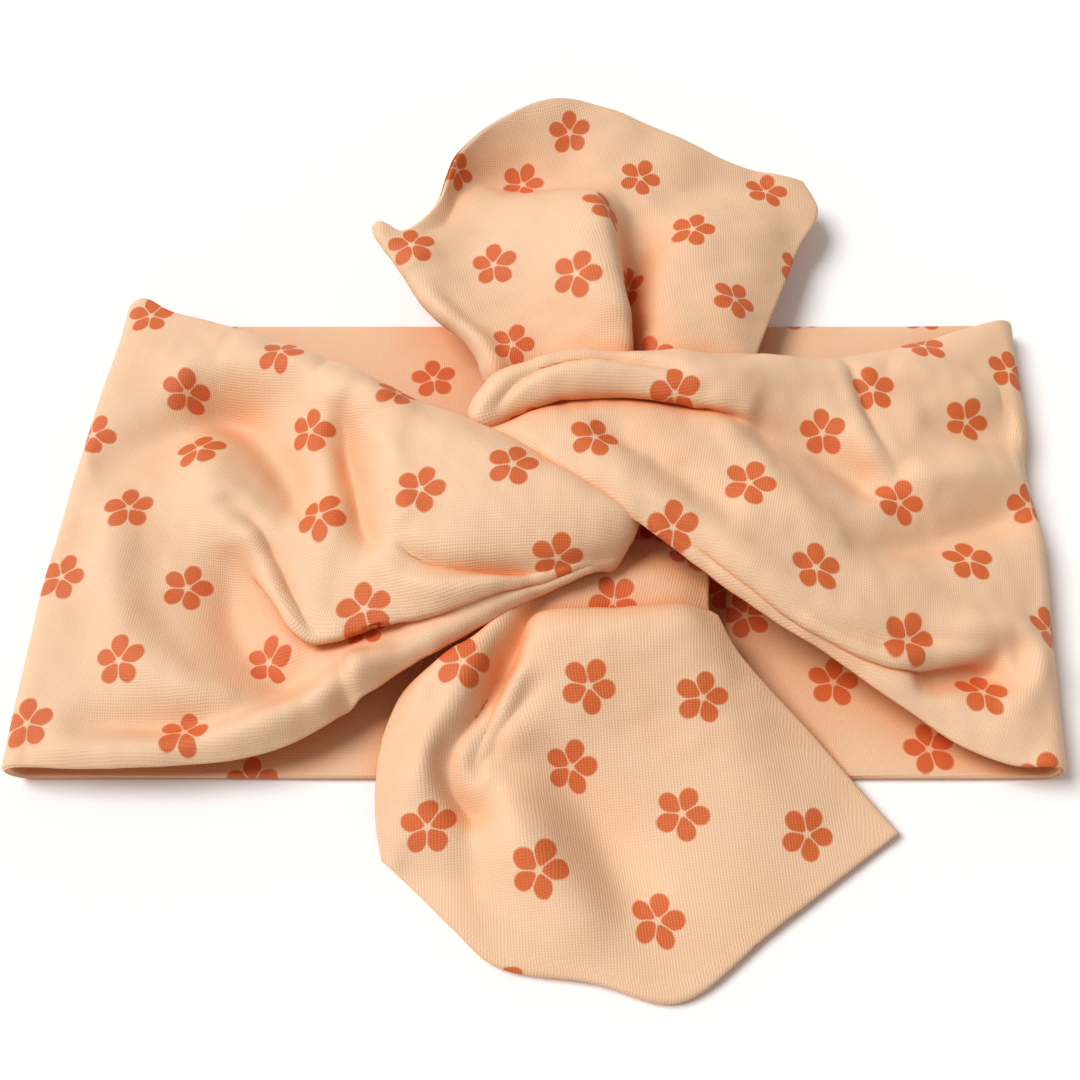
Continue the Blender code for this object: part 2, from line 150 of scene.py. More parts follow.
# Rows across the right front strap, near edge to far edge, from the side fold to the wrap's tip. The third
# and fourth points make the lower lip, the eighth to tenth the roll, and the last two the fold behind it.
RIGHT_ROWS = (
    ((101, -62, 8.5), (101, -54, 11.5), (102, -43, 9.8), (103, -33, 11.5), (104, -22, 12),
     (105, -10, 11), (105, 2, 11), (106, 14, 12), (107, 26, 12), (107, 37, 11), (108, 47, 12),
     (109, 56, 9.5)),
    ((89, -57.5, 9), (89, -50, 12.8), (90, -37, 10), (90, -39, 14), (91, -27, 15.5), (92, -14, 14),
     (92, -1, 14), (93, 11, 15), (93, 22, 15.5), (94, 32, 14), (94, 42, 14.5), (95, 50, 11)),
    ((77, -49.5, 11), (77, -45, 13.5), (77.5, -36.5, 11), (76, -41.5, 15.5), (78, -31, 18.5),
     (79, -17, 18), (79, -4, 16), (79, 6, 17), (80, 15, 18.5), (80, 26, 16), (80, 37, 17.5),
     (81, 45, 13)),
    ((64, -41, 13.5), (64, -38, 15.5), (65, -33, 14), (63, -38, 17), (65, -28, 21), (66, -14, 21),
     (66, -1, 18.5), (66, 7, 19), (66, 15, 21.5), (67, 25, 19), (67, 36, 19), (67, 42, 14)),
    ((52, -33, 16), (52, -30.5, 18), (53, -27, 17), (51, -30.5, 19.5), (53, -22, 23.5), (53, -9, 24.5),
     (53, 3, 22.5), (53, 13, 21.5), (53, 21, 25), (53, 28, 23.5), (53, 36, 23), (53, 42, 16)),
    ((41, -26, 19), (41, -24.5, 21), (42, -21.5, 20.5), (41, -23, 22.3), (42, -17, 25.5), (42, -6, 27),
     (42, 9, 24.8), (42, 19.5, 22.5), (42, 20.5, 25.5), (42, 27, 28), (42, 34, 25), (42, 41.5, 18)),
    ((30, -18.5, 22), (30, -17.3, 23.5), (30, -15.8, 23.8), (30, -14.8, 24.5), (30, -11, 26.8),
     (30, -1, 28.5), (30, 13, 26.5), (30, 25.5, 22), (30, 22, 26.8), (30, 28, 30), (30, 35, 27),
     (30, 40.5, 19)),
    ((17, -10, 26), (17, -8.8, 27.5), (17, -7, 28), (17, -5.5, 28.4), (16, -1, 29.3), (15, 8, 29.3),
     (15, 18, 27), (15, 29, 20.5), (14, 23.8, 27), (12, 29.5, 31), (12, 35, 27.5), (12, 38.5, 19.5)),
    ((5, -1.5, 26.5), (5, 0, 28), (4, 1.5, 28.6), (4, 3.5, 29), (3, 7, 29), (2, 13, 28.6),
     (0, 18.5, 26.5), (0, 28, 19.5), (-1, 22.5, 26.5), (-3, 28, 30.5), (-4, 33.5, 26.5), (-4, 36.5, 19)),
    ((-6, 6.5, 25), (-6, 8, 26.5), (-7, 9.5, 27), (-7, 11, 27.4), (-8, 13, 27.2), (-9, 15, 26.4),
     (-10, 17, 24.8), (-8, 23, 18.5), (-11, 19.5, 24.5), (-13.5, 24.5, 28), (-15.5, 29, 24.5),
     (-14, 32, 18)),
    ((-14, 12.5, 22), (-15, 13.2, 22.4), (-15.6, 13.6, 22.6), (-16, 13.9, 22.8), (-16.5, 14.2, 22.8),
     (-17, 14.5, 22.5), (-17, 15, 22), (-14, 18, 18.5), (-17.8, 15.8, 22.6), (-19.8, 17.8, 24),
     (-20.6, 20.5, 22), (-18, 24, 17)),
    ((-10, 9, 14), (-11, 10.5, 14), (-12, 11.5, 14), (-12.5, 12.5, 14), (-13, 14, 14), (-14, 15.5, 14),
     (-14.5, 17, 14), (-13, 18.5, 14), (-14.5, 20.5, 14), (-14, 24, 14), (-12, 27.5, 14), (-10, 30, 14)),
)
# Rows across the bottom tail, left to right, from under the knot to the slanted end. The first three points
# make the roll at the left, and the fourth the valley beside it. The third and fourth rows make the hollow
# under the knot and the lip of cloth below it.
BOTTOM_TAIL_ROWS = (
    ((-10, -20, 12), (-8, -18, 13), (-6, -16, 13), (-4, -15, 12.5), (0, -13, 12.5), (13, -9, 12),
     (26, -9, 12), (36, -14, 11)),
    ((-13, -29, 12), (-9, -26, 16), (-7, -24, 16), (-4, -23, 14.5), (0, -20.5, 15.5), (12, -18.5, 15.5),
     (26, -19, 15), (35, -23, 12)),
    ((-21, -36, 12), (-15, -31.5, 16.5), (-11, -29, 16.5), (-7, -29, 13), (-1, -33, 11.5),
     (12, -34, 11), (26, -34, 11), (36, -35, 9.5)),
    ((-29, -41.5, 10.5), (-21, -37, 16.5), (-14, -35, 17), (-8.5, -35, 12.5), (-4, -29, 15.5),
     (12, -28, 15.8), (27, -27.3, 15.8), (36.5, -28, 14)),
    ((-35, -47, 9), (-27, -43, 15), (-18, -41.5, 16), (-11.5, -42, 11), (-5, -34, 17.5),
     (12, -32.5, 18.6), (28, -31.5, 18.4), (39, -33, 13.5)),
    ((-38.5, -55, 6.5), (-30.5, -52, 12), (-21, -50, 13.5), (-14.5, -51, 8.5), (-8, -45, 14.5),
     (13, -45, 15), (32, -43, 15), (46, -42, 9.5)),
    ((-40, -65, 5), (-33, -64, 8), (-25, -61, 10.5), (-19.5, -62, 6), (-12, -57, 11.5), (12, -59, 9),
     (35, -55, 10.5), (56, -52, 5.5)),
    ((-39.5, -74, 3.5), (-32, -75, 5.5), (-25, -73, 6.5), (-18, -73, 4.5), (-9, -73, 9), (13, -77, 4.5),
     (41, -71, 6.5), (66, -64, 3)),
    ((-38, -81, 1.8), (-30, -88, 2), (-22, -95.5, 2), (-13, -103, 1.8), (7, -106.3, 1.8),
     (25, -110.2, 1.8), (46, -95.5, 2), (75, -75, 1.8)),
)
# Rows across the top tail, left to right, from under the knot to its end. The first three points roll the
# left side under, and the seventh and eighth make the step of the lap.
TOP_TAIL_ROWS = (
    ((-12, 29, 11), (-15, 28, 13), (-12.5, 28, 14), (-9.5, 29, 13), (-5, 30, 12.5), (4, 31, 13),
     (16, 30, 14), (19, 31, 12), (23, 30, 13), (36, 30, 13), (48, 29, 12)),
    ((-17, 45, 16), (-20.5, 43.5, 18), (-18, 43, 21), (-13.5, 44.5, 18.5), (-7, 46, 18), (5, 45, 20.5),
     (18, 43, 23), (19, 47, 11), (24, 47, 17.5), (38, 45, 18.5), (51, 44, 13)),
    ((-28, 57, 18), (-32.5, 55, 20), (-29.5, 54.5, 23), (-24, 57.5, 21), (-15, 60, 20), (0, 60, 24.5),
     (15.5, 57, 27), (18.5, 60, 12), (26, 59, 18), (42, 58, 18.5), (56, 57, 11.5)),
    ((-38, 67.5, 19), (-40.5, 66, 22), (-35.5, 66, 24), (-28, 69, 21.5), (-19, 73, 22), (-3, 74, 26.5),
     (13, 72, 28.5), (20, 73, 13), (31, 71, 18.5), (45, 71, 17), (61, 70, 10.5)),
    ((-43.5, 72.5, 20.5), (-44.5, 71.5, 23), (-38, 70.5, 24), (-29, 75.5, 21.5), (-21, 85, 21.5),
     (-6, 87, 23.5), (10, 85, 27), (20, 86, 16), (37, 82, 18.5), (50, 83, 17), (66, 82, 10)),
    ((-46.5, 76, 21.5), (-46, 75.2, 24), (-39, 73.5, 23.5), (-30, 81, 20.5), (-24, 97, 18.5),
     (-9, 100, 16.5), (5, 101, 17.5), (15, 101, 18), (30, 98, 17.5), (48, 96, 15.5), (72.5, 96, 9.5)),
    ((-48, 79, 22.5), (-45.5, 79.5, 24), (-39.5, 77, 23), (-31.5, 87, 22.5), (-26, 104, 24.5),
     (-8, 119.5, 25.5), (4, 122.5, 25), (14, 121, 23), (30, 115.5, 20), (48, 109, 16), (69, 105.5, 10.5)),
)

# Folds pressed into each sheet: height, reach, and the line's points (x, y). A negative height is a valley.
LEFT_CREASES = (
    (-4.4, 7.0, ((-115, 14), (-100, 21), (-86, 28), (-70, 30), (-54, 24))),
    (-6.4, 6.5, ((-94, 37), (-80, 28), (-70, 16), (-63, 4), (-59, -7))),
    (3.0, 6.0, ((-92, 20), (-84, 8), (-76, -4), (-68, -14))),
    (3.0, 7.0, ((-112, 52), (-96, 42), (-73, 34), (-55, 28), (-40, 20))),
    (-5.4, 4.0, ((-52, 27), (-50, 14), (-47, 0), (-44, -10), (-40, -16))),
    (2.6, 4.5, ((-41, 20), (-39, 8), (-37, -4), (-34, -11))),
    (1.8, 2.6, ((-42, -17), (-34, -23), (-23, -26), (-10, -24))),
    (3.4, 6.0, ((-108, 8), (-105, -3), (-103, -19), (-97, -33), (-86, -43), (-71, -50), (-56, -50))),
    (-4.2, 6.0, ((-76, -10), (-75, -26), (-67, -39), (-56, -43))),
    (3.0, 3.6, ((-116, -59), (-92, -60), (-72, -57), (-57, -51), (-47, -44), (-36, -35))),
    (-3.0, 4.5, ((-110, -52), (-85, -53), (-68, -50), (-52, -40))),
    (-2.2, 2.2, ((-80, 1), (-75, -4), (-70, -8))),
    (2.0, 5.0, ((-84, 47), (-68, 40), (-58, 37))),
)
RIGHT_CREASES = (
    (-5.2, 6.5, ((46, 21), (60, 16), (70, 8), (77, 0))),
    (2.8, 5.0, ((34, 22), (42, 12), (50, 2), (58, -7), (68, -13))),
    (-2.4, 1.6, ((-16, 19), (-8, 27), (6, 31.5), (20, 31), (33, 27))),
    (-3.4, 5.0, ((8, 15), (20, 7), (31, -1), (42, -9))),
    (2.2, 5.0, ((6, 5), (22, -7), (37, -17), (50, -26), (64, -32), (74, -34))),
    (2.6, 3.2, ((84, -34), (96, -32), (105, -31), (109, -36), (107, -44), (98, -51))),
    (-4.2, 4.0, ((78, -44), (90, -42), (102, -39))),
    (3.2, 5.0, ((82, 5), (98, 8), (116, 11))),
    (-3.8, 5.0, ((66, -15), (83, -11), (100, -4), (115, 1))),
    (2.8, 5.0, ((84, 40), (98, 34), (112, 33))),
    (-2.8, 5.0, ((88, 24), (102, 22), (116, 25))),
)
TOP_CREASES = (
    (-2.4, 6.0, ((-27, 103), (-10, 98), (5, 95), (14, 94))),
    (-2.4, 7.0, ((27, 90), (42, 99), (60, 106))),
    (-1.8, 4.0, ((-37, 66), (-22, 50), (-12, 42))),
)
BOTTOM_CREASES = (
    (-3.2, 2.8, ((-12, -70), (-18, -72), (-24, -66), (-24, -58), (-18, -49), (-13, -40), (-8, -30))),
    (2.4, 2.6, ((-14, -63), (-18, -66), (-20, -61), (-15, -53), (-10, -46), (-5, -40))),
    (-2.2, 2.6, ((-6, -61), (-12, -61), (-13, -55), (-8, -49), (-3, -43))),
    (2.0, 3.0, ((-31, -70), (-29, -60), (-22, -49), (-15, -38))),
    (-3.8, 7.0, ((-10, -56), (2, -65), (11, -79), (17, -94))),
    (2.8, 7.5, ((-16, -71), (-6, -80), (4, -90), (9, -99))),
    (-1.6, 5.0, ((-35, -82), (-25, -85), (-15, -84))),
    (1.2, 6.0, ((38, -50), (44, -66), (56, -76))),
)
# Laps, where the cloth steps down sharply: height, reach, and points with the high side on their left.
LEFT_LAPS = (
    (3.2, 9.0, ((-54, -37), (-60, -28), (-66, -16), (-72, -6), (-80, 2))),
    (4.2, 6.0, ((-4, -22.5), (-14, -22.5), (-26, -21), (-34, -18), (-38, -13))),
    (4.0, 9.0, ((-46.5, -38), (-46, -42), (-45, -47), (-44, -52))),
)
RIGHT_LAPS = (
    (3.0, 8.0, ((82, 5), (76, 16), (73, 30), (70, 43))),
    (3.0, 6.0, ((100, -35), (85, -37), (73, -38.5), (64, -36), (52, -30))),
)
TOP_LAPS = ((2.6, 9.0, ((20, 46), (17, 60), (14, 76), (11, 92))),)

# Flowers of the print, each by a point (x, y, z) near its middle.
LEFT_FLOWERS = (
    (-106, 59, 11), (-93, 34, 12), (-116, 23, 10), (-69, 42, 19), (-87, 16, 14), (-60, 19, 18), (-38, 26, 24),
    (-102, 0, 13), (-116, -17, 11), (-86, -20, 11), (-55, -6, 21), (-31, -3, 28), (-10, 2, 31),
    (-98, -39, 13), (-66, -38, 10), (-82, -55, 12), (-117, -53, 11), (-43, -29, 19), (0, -19, 25),
    (-32, 45, 2), (-53, 66.5, 2), (-68, -63, 2), (-105, -66, 2),
)
RIGHT_FLOWERS = (
    (9, 10, 30), (28, 22, 29), (44, -1, 27), (26, -13, 28), (64, 17, 20), (78, 31, 18), (102, 25, 13),
    (81, 0, 16), (58, -21, 24), (96, -14, 14), (78, -36, 18), (95, -46, 11), (116, 42, 11),
    (115, 3, 10), (114, -30, 10), (66, 65, 2), (99, 65, 2), (45, -23, 2), (64, -40, 2), (84, -56, 2),
)
BOTTOM_FLOWERS = (
    (7, -46, 16), (32, -48, 14), (3, -62, 8), (27, -72, 7), (54, -76, 5), (-4, -85, 10), (21, -94, 4),
    (-28, -75, 7), (-21, -41, 18), (13, -25, 15), (-12, -107, 2), (45, -101.5, 3),
)
TOP_FLOWERS = (
    (4, 113, 22), (23, 100, 18), (58, 100, 13), (-9, 100, 16), (14, 81, 28), (36, 81, 20), (-16, 66, 23),
    (5, 59, 28), (46, 59, 18), (-37, 71, 24), (-11, 44, 19), (-28, 99, 22), (19, 66, 13), (24, 41, 17),
    (64, 75, 11), (46, 114.5, 16),
)
# How far the side folds bulge outwards along their length: y and the bulge.
LEFT_WAVE = ((-64, 0), (-44, 1.5), (-19, 3), (6, 2.6), (29, 2.4), (50, 1), (66, 1))
RIGHT_WAVE = (
    (-64, -1), (-32, -0.5), (-8, 0.6), (2, -0.4), (11, -3.4), (19, -2.6), (27, -0.8), (57, -1.8),
)

# ---------------------------------------------------------------- colours, linear RGB
GROUND = (0.90, 0.60, 0.385)
GROUND_WARM = (0.87, 0.51, 0.30)
PAINTED_FOLD_SHADE = (0.98, 0.63, 0.43)  # painted shade: the colour is tinted towards this warmer, darker tone in folds and hollows, standing in for light passed through the knit
FLOWER = (0.65, 0.09, 0.003)
FLOWER_LIGHT = (0.72, 0.13, 0.009)

# The print: five-petal flowers, in millimetres. Away from the listed flowers they lie on a lattice.
PRINT_ALONG = 33.0
PRINT_ACROSS = 37.5
FLOWER_GAP = 22.0  # the least distance between two flowers' middles
LATTICE_REACH = 12  # how many steps the lattice goes each way
FLOWER_TILT = 0.25  # how far a flower may be turned, in radians
TILT_WAVES = (3.1, 5.3)  # how the turn varies from flower to flower
PETAL_MIDDLE = 3.35
PETAL_LENGTH = 2.6
PETAL_WIDTH = 2.02
PETAL_FLARE = 0.30  # how much wider a petal is at its outer end
PETAL_EDGE = (-0.22, 0.26)  # how softly a petal's outline ends
PETAL_GAP = (-0.10, 0.32)  # and the gap between two petals
PETALS = 5

# The knit's surface. Spacings are in millimetres, and noise scales in 1/mm.
WALE_STEP, COURSE_STEP = 0.66, 0.58  # between the stitches' columns, and between their rows
COURSE_ARC = 1.1  # how far a row of stitches dips at each column
BLOTCH_SCALE, NAP_SCALE = 0.05, 2.2
BLOTCH_STEPS, BLOTCH_SHARE = (0.42, 0.75), 0.45
FOLD_REACH = 0.032  # how far the ambient occlusion behind the painted fold shade looks for other cloth, in metres
FOLD_STEPS = (0.30, 1.05)
BUMP_DEPTH = 0.00009  # in metres
# A factor and an offset each: how stitches and nap change the paint's cover, the shade and the roughness.
STITCH_COVER = (0.05, 0.93)
STITCH_SHADE = (0.028, 0.972)
NAP_SHADE = (0.08, 0.96)
NAP_ROUGHNESS = (0.12, 0.50)
NAP_BUMP = 1.2  # the nap's height against the stitches'


# ---------------------------------------------------------------- surfaces
def spline_along(points, steps):
    """Points on smooth curves through points[0], points[1], ..., with this many steps between rows.

    The curves' tangents allow for uneven spacing, so that close rows don't throw a curve into loops.
    """
    points = np.asarray(points, float)
    chords = np.sqrt(np.linalg.norm(np.diff(points, axis=0), axis=-1, keepdims=True)) + 1e-6
    slopes = np.diff(points, axis=0) / chords
    inner = (slopes[:-1] * chords[1:] + slopes[1:] * chords[:-1]) / (chords[:-1] + chords[1:])
    tangents = np.concatenate([slopes[:1], inner, slopes[-1:]])
    found = []
    for i in range(len(points) - 1):
        for k in range(steps):
            t = k / steps
            found.append(
                (2 * t**3 - 3 * t**2 + 1) * points[i]
                + (t**3 - 2 * t**2 + t) * chords[i] * tangents[i]
                + (3 * t**2 - 2 * t**3) * points[i + 1]
                + (t**3 - t**2) * chords[i] * tangents[i + 1]
            )
    found.append(points[-1])
    return np.array(found)


def loft(rows, along, across):
    """A fine grid of points on a smooth surface through the rows."""
    finer = spline_along(rows, along)
    return spline_along(finer.transpose(1, 0, 2), across).transpose(1, 0, 2)


def relaxed(grid, passes, strength=0.5):
    """The grid with each point drawn towards its neighbours' mean; its rim stays where it is."""
    grid = grid.copy()
    for _ in range(passes):
        mean = (grid[:-2, 1:-1] + grid[2:, 1:-1] + grid[1:-1, :-2] + grid[1:-1, 2:]) / 4
        grid[1:-1, 1:-1] += strength * (mean - grid[1:-1, 1:-1])
    return grid


def with_edge_points(grid):
    """The grid with more columns at both sides, where the cloth's edges are rounded."""
    edge = np.array(EDGE_STEPS)
    finer = []
    for row, place in zip(grid, travelled(grid, 1)):
        length = place[-1]
        inner = EDGE_MARGIN + (length - 2 * EDGE_MARGIN) * place / length
        wanted = np.concatenate([edge, inner, length - edge[::-1]])
        finer.append(np.stack([np.interp(wanted, place, row[:, k]) for k in range(3)], axis=1))
    return np.array(finer)


def normals_of(grid):
    along, across = np.gradient(grid, axis=(0, 1))
    found = np.cross(along, across)
    return found / (np.linalg.norm(found, axis=2, keepdims=True) + 1e-12)


def travelled(grid, axis):
    """Distance along each line of the grid from its first point."""
    steps = np.linalg.norm(np.diff(grid, axis=axis), axis=2)
    start = np.zeros_like(np.take(steps, [0], axis=axis))
    return np.concatenate([start, np.cumsum(steps, axis=axis)], axis=axis)


def leaning(s, y, z):
    """A point of the flattened loop: s along it, and y across it, with the side folds' lean."""
    return (s + LEAN * y, y, z)


def loop_rows(side, start_s, wave, front_far):
    """Rows of the flat back band from start_s outwards, and round the side fold.

    The fold bulges by `wave`, and its far corner ends up at y = front_far.
    """
    across = np.linspace(-HALF_WIDTH, HALF_WIDTH, COLUMNS)
    bulge = np.interp(across, *zip(*wave))
    stations = [start_s]
    while side * (side * ARC_S - stations[-1]) > BAND_STEP + BAND_MARGIN:
        stations.append(stations[-1] + side * BAND_STEP)
    rows = [[leaning(s, y, BACK_Z) for y in across] for s in stations]
    for angle in range(0, 181, FOLD_TURN):
        turn = math.radians(angle)
        spread = 1 + (front_far / HALF_WIDTH - 1) * angle / 180 * (across > 0)
        out = ARC_RADIUS * math.sin(turn) + bulge * math.sin(turn / 2)
        z = FOLD_Z - ARC_RADIUS * math.cos(turn)
        rows.append([leaning(side * (ARC_S + o), y * w, z) for y, o, w in zip(across, out, spread)])
    return rows


def flattened(grid):
    """Where each point of the grid lies when the sheet is laid flat, in millimetres.

    A minimum-stretch unwrap finds it on a coarser grid, and the finer points are read between.
    """
    rows = sorted({*range(0, grid.shape[0], PATTERN_STEP), grid.shape[0] - 1})
    columns = sorted({*range(0, grid.shape[1], PATTERN_STEP), grid.shape[1] - 1})
    coarse = grid[np.ix_(rows, columns)]
    n, m = coarse.shape[:2]
    quads = [(i * m + j, (i + 1) * m + j, (i + 1) * m + j + 1, i * m + j + 1)
             for i in range(n - 1) for j in range(m - 1)]
    mesh = bpy.data.meshes.new("flat_pattern")
    mesh.from_pydata([tuple(p) for p in coarse.reshape(-1, 3)], [], quads)
    obj = bpy.data.objects.new("flat_pattern", mesh)
    bpy.context.scene.collection.objects.link(obj)
    bpy.context.view_layer.objects.active = obj
    obj.select_set(True)
    mesh.uv_layers.new(name="flat")
    bpy.ops.object.mode_set(mode="EDIT")
    bpy.ops.mesh.select_all(action="SELECT")
    bpy.ops.uv.unwrap(method="MINIMUM_STRETCH", iterations=30, margin=0.0)
    bpy.ops.object.mode_set(mode="OBJECT")
    flat = np.zeros((n * m, 2))
    for loop, uv in zip(mesh.loops, mesh.uv_layers["flat"].data):
        flat[loop.vertex_index] = uv.uv
    bpy.data.objects.remove(obj, do_unlink=True)
    flat = flat.reshape(n, m, 2)
    real = travelled(coarse, 0)[-1].mean() + travelled(coarse, 1)[:, -1].mean()
    laid = (np.linalg.norm(np.diff(flat, axis=0), axis=2).sum(0).mean()
            + np.linalg.norm(np.diff(flat, axis=1), axis=2).sum(1).mean())
    flat *= real / laid
    return np.stack([interpolated(flat[..., k], rows, columns, grid.shape[:2]) for k in (0, 1)], axis=2)


def interpolated(values, rows, columns, shape):
    """Values known at these rows and columns, read at every point of a grid of this shape."""
    wide = np.array([np.interp(np.arange(shape[1]), columns, line) for line in values])
    return np.array([np.interp(np.arange(shape[0]), rows, wide[:, j]) for j in range(shape[1])]).T


def turned_along(flat):
    """The flat pattern turned so that x runs along the strap."""
    along = (flat[-1] - flat[0]).mean(axis=0)
    along /= np.linalg.norm(along)
    return flat @ np.array([along, (-along[1], along[0])]).T


def placed_middles(flat, grid, placed):
    """Where the listed flowers lie on the flat pattern, or just past its edge."""
    points, pattern = grid.reshape(-1, 3), flat.reshape(-1, 2)
    slopes = [np.stack(np.gradient(table, axis=(0, 1)), axis=-1) for table in (grid, flat)]
    on_cloth, on_pattern = (slope.reshape(len(points), -1, 2) for slope in slopes)
    middles = []
    for spot in np.array(placed, float):
        nearest = np.argmin(np.linalg.norm(points - spot, axis=1))
        steps = np.linalg.lstsq(on_cloth[nearest], spot - points[nearest], rcond=None)[0]
        middles.append(pattern[nearest] + on_pattern[nearest] @ steps)
    return middles


def flower_middles(flat, grid, placed):
    """The middles of the flowers on the flat pattern: listed, and further off a centred lattice."""
    middles = placed_middles(flat, grid, placed)
    first_x, first_y = middles[0]
    low = flat.min(axis=(0, 1)) - FLOWER_GAP
    high = flat.max(axis=(0, 1)) + FLOWER_GAP
    for half_step in (0.0, 0.5):
        steps = np.arange(half_step - LATTICE_REACH, LATTICE_REACH)
        for spot in itertools.product(steps * PRINT_ALONG + first_x, steps * PRINT_ACROSS + first_y):
            spot = np.array(spot)
            apart = min(np.linalg.norm(spot - other) for other in middles)
            if (spot > low).all() and (spot < high).all() and apart > FLOWER_GAP:
                middles.append(spot)
    return np.array(middles)


def line_distance(plan, line):
    """Each point's distance to a smooth line, its side (positive on the left), and its share of the way."""
    path = spline_along(np.array(line, float), LINE_STEPS)
    steps = np.diff(path, axis=0)
    lengths = np.linalg.norm(steps, axis=1)
    starts = np.concatenate([[0], np.cumsum(lengths)])
    nearest = np.full(plan.shape[:2], 1e9)
    side = np.ones(plan.shape[:2])
    share = np.zeros(plan.shape[:2])
    for i, (step, length) in enumerate(zip(steps, lengths)):
        away = plan - path[i]
        t = np.clip((away @ step) / length**2, 0, 1)
        gap = np.linalg.norm(away - t[..., None] * step, axis=2)
        closer = gap < nearest
        cross = step[0] * away[..., 1] - step[1] * away[..., 0]
        nearest = np.where(closer, gap, nearest)
        side = np.where(closer, np.sign(cross), side)
        share = np.where(closer, (starts[i] + t * length) / starts[-1], share)
    return nearest, side, share


def pressed(grid, creases, laps, first):
    """The grid with these folds added to it, from its row `first` on."""
    grid = grid.copy()
    plan = grid[..., :2].copy()
    lift = np.zeros(grid.shape[:2])
    for height, reach, line in creases:
        gap, _, share = line_distance(plan, line)
        fade = 1 - (2 * share - 1) ** 4
        lift += height * fade * np.exp(-((gap / reach) ** 2))
    for height, reach, line in laps:
        gap, side, share = line_distance(plan, line)
        fade = 1 - (2 * share - 1) ** 4
        signed = gap * side
        high = 1 / (1 + np.exp(-signed / LAP_SHARPNESS)) * np.exp(-np.maximum(signed, 0) / reach)
        low = np.exp(-(((signed + HOLLOW_PLACE) / HOLLOW_REACH) ** 2))
        lift += height * fade * (LAP_HIGH * high - LAP_HOLLOW * low)
    rows = np.clip((np.arange(grid.shape[0]) - first) / PRESSED_FROM, 0, 1)
    grid[..., 2] += lift * rows[:, None]
    floor = HALF_THICK + FLOOR_GAP
    over = grid[..., 2] - floor
    grid[..., 2] = floor + np.where(over > 1, over, np.exp(np.minimum(over, 1) - 1))
    edge = len(EDGE_STEPS)
    smooth = grid.copy()
    smooth[first:, edge:-edge] = relaxed(grid, PRESSED_PASSES)[first:, edge:-edge]
    return smooth


# ---------------------------------------------------------------- cloth meshes
def smooth_noise(points, wavelength, seed):
    """Smooth noise between about -1 and 1 at points (x, y), as a sum of fixed waves."""
    random = np.random.RandomState(seed)
    x, y = points[..., 0], points[..., 1]
    total = np.zeros(x.shape)
    for _ in range(NOISE_WAVES):
        angle = random.uniform(0, 2 * math.pi)
        stretch = random.uniform(*NOISE_STRETCH)
        wave = 2 * math.pi / (wavelength * stretch)
        phase = random.uniform(0, 2 * math.pi)
        total += np.sin(wave * (x * math.cos(angle) + y * math.sin(angle)) + phase)
    return total / NOISE_HEIGHT


def layers_of(grid, normals, half):
    """The two faces of a sheet about the grid."""
    top = grid + normals * half[..., None]
    low = grid - normals * half[..., None]
    low[..., 2] = np.maximum(low[..., 2], LOWEST)
    top[..., 2] = np.maximum(top[..., 2], LOWEST_TOP)
    return top, low


def closed_faces(n, m):
    """Faces of two n by m layers, with a wall round them."""
    index = np.arange(n * m).reshape(n, m)
    quads = np.stack([index[:-1, :-1], index[1:, :-1], index[1:, 1:], index[:-1, 1:]], axis=-1)
    quads = quads.reshape(-1, 4)
    rim = np.concatenate([index[0, :], index[1:, -1], index[-1, -2::-1], index[-2:0:-1, 0]])
    walls = np.stack([rim, np.roll(rim, -1), np.roll(rim, -1) + n * m, rim + n * m], axis=1)
    return np.concatenate([quads, quads[:, ::-1] + n * m, walls[:, ::-1]])


def new_mesh(name, layers):
    n, m = layers[0].shape[:2]
    points = np.concatenate([layer.reshape(-1, 3) for layer in layers]) * MM
    mesh = bpy.data.meshes.new(name)
    mesh.from_pydata(points.tolist(), [], closed_faces(n, m).tolist())
    if signed_volume(mesh) < 0:
        mesh.flip_normals()
    return mesh


def smooth_normals(layers):
    """Each point's normal on the whole closed sheet, so that cut edges don't show."""
    mesh = new_mesh("whole_sheet", layers)
    found = np.zeros(len(mesh.vertices) * 3)
    mesh.vertex_normals.foreach_get("vector", found)
    bpy.data.meshes.remove(mesh)
    return found.reshape(2, *layers[0].shape)


def cloth_mesh(name, layers, shading, flat, middles, part, material):
    """The rows `part` of a sheet, as a closed mesh that's shaded as the whole sheet is.

    Its UV map "cloth" is the flat pattern, and "print" is each face's place about the nearest flower.
    """
    layers = [layer[part] for layer in layers]
    mesh = new_mesh(name, layers)
    corners = np.zeros(len(mesh.loops), np.int64)
    mesh.loops.foreach_get("vertex_index", corners)
    spread = np.tile(flat[part].reshape(-1, 2), (2, 1))[corners].reshape(-1, 4, 2)
    nearest = np.linalg.norm(spread.mean(axis=1)[:, None] - middles[None], axis=2).argmin(axis=1)
    tilt = FLOWER_TILT * np.sin(middles @ TILT_WAVES)[nearest]
    x, y = (spread - middles[nearest][:, None]).transpose(2, 0, 1)
    cosine, sine = np.cos(tilt)[:, None], np.sin(tilt)[:, None]
    local = np.stack([x * cosine - y * sine, x * sine + y * cosine], axis=2)
    mesh.uv_layers.new(name="cloth").data.foreach_set("uv", spread.ravel())
    mesh.uv_layers.new(name="print").data.foreach_set("uv", local.ravel())
    mesh.shade_smooth()
    mesh.normals_split_custom_set_from_vertices(shading[:, part].reshape(-1, 3).tolist())
    mesh.materials.append(material)
    obj = bpy.data.objects.new(name, mesh)
    bpy.context.scene.collection.objects.link(obj)
    return obj


